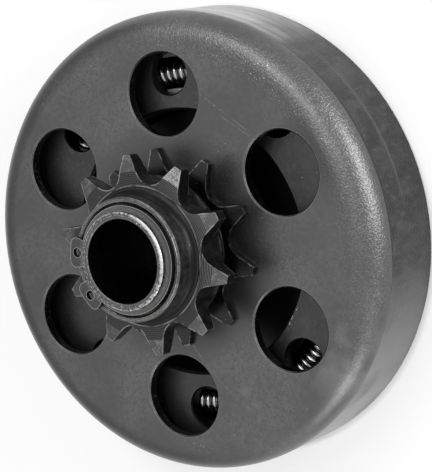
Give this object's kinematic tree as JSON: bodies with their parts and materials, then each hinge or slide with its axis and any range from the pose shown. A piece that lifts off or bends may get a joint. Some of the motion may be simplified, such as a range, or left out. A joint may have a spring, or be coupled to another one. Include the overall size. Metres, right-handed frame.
{
  "type": "centrifugal clutch",
  "caption": "Dry centrifugal clutch: black steel drum with round holes, chain sprocket on a hub sleeve, and two spring-held shoes inside.",
  "frame": {"origin": "on the bore's axis, in the plane of the drum's open rim, on which the clutch stands", "axes": "+Z along the bore towards the sprocket; the shoes travel along +X and -X"},
  "size_m": [0.107, 0.107, 0.0444],
  "materials": {
    "blackened_drum_steel": "black oxide on drawn sheet steel, satin",
    "blackened_turned_steel": "black oxide on turned and milled steel, fine turning marks",
    "sintered_bronze": "oil-filled sintered bronze",
    "washer_steel": "black oxide on pressed steel",
    "spring_steel": "phosphated spring steel, flat grey",
    "sleeve_steel": "turned steel, bright at the end",
    "sintered_iron": "steam-treated sintered iron, matt",
    "spring_wire": "oil-tempered spring wire, black and glossy"
  },
  "bodies": {
    "drum": {"clutch_drum": "blackened_drum_steel", "chain_sprocket": "blackened_turned_steel", "sprocket_bush": "sintered_bronze"},
    "hub": {"hub_sleeve": "sleeve_steel", "driver": "sintered_iron", "retaining_ring": "spring_steel", "outer_thrust_washer": "washer_steel", "inner_thrust_washer": "washer_steel", "garter_spring": "spring_wire"},
    "shoe_a": {"shoe_a": "sintered_iron"},
    "shoe_b": {"shoe_b": "sintered_iron"}
  },
  "joints": [
    {"name": "hub_spin", "type": "hinge", "parent": "drum", "child": "hub", "pos_m": [0, 0, 0.03], "axis": [0, 0, 1], "continuous": true},
    {"name": "shoe_a_slide", "type": "slide", "parent": "hub", "child": "shoe_a", "axis": [1, 0, 0], "range_m": [0, 0.001], "stiffness_N_per_m": 12000, "springref_m": -0.002, "deforming": ["garter_spring"]},
    {"name": "shoe_b_slide", "type": "slide", "parent": "hub", "child": "shoe_b", "axis": [-1, 0, 0], "range_m": [0, 0.001], "deforming": ["garter_spring"]}
  ],
  "couplings": [
    {"joint": "shoe_b_slide", "follows": "shoe_a_slide", "ratio": 1}
  ]
}
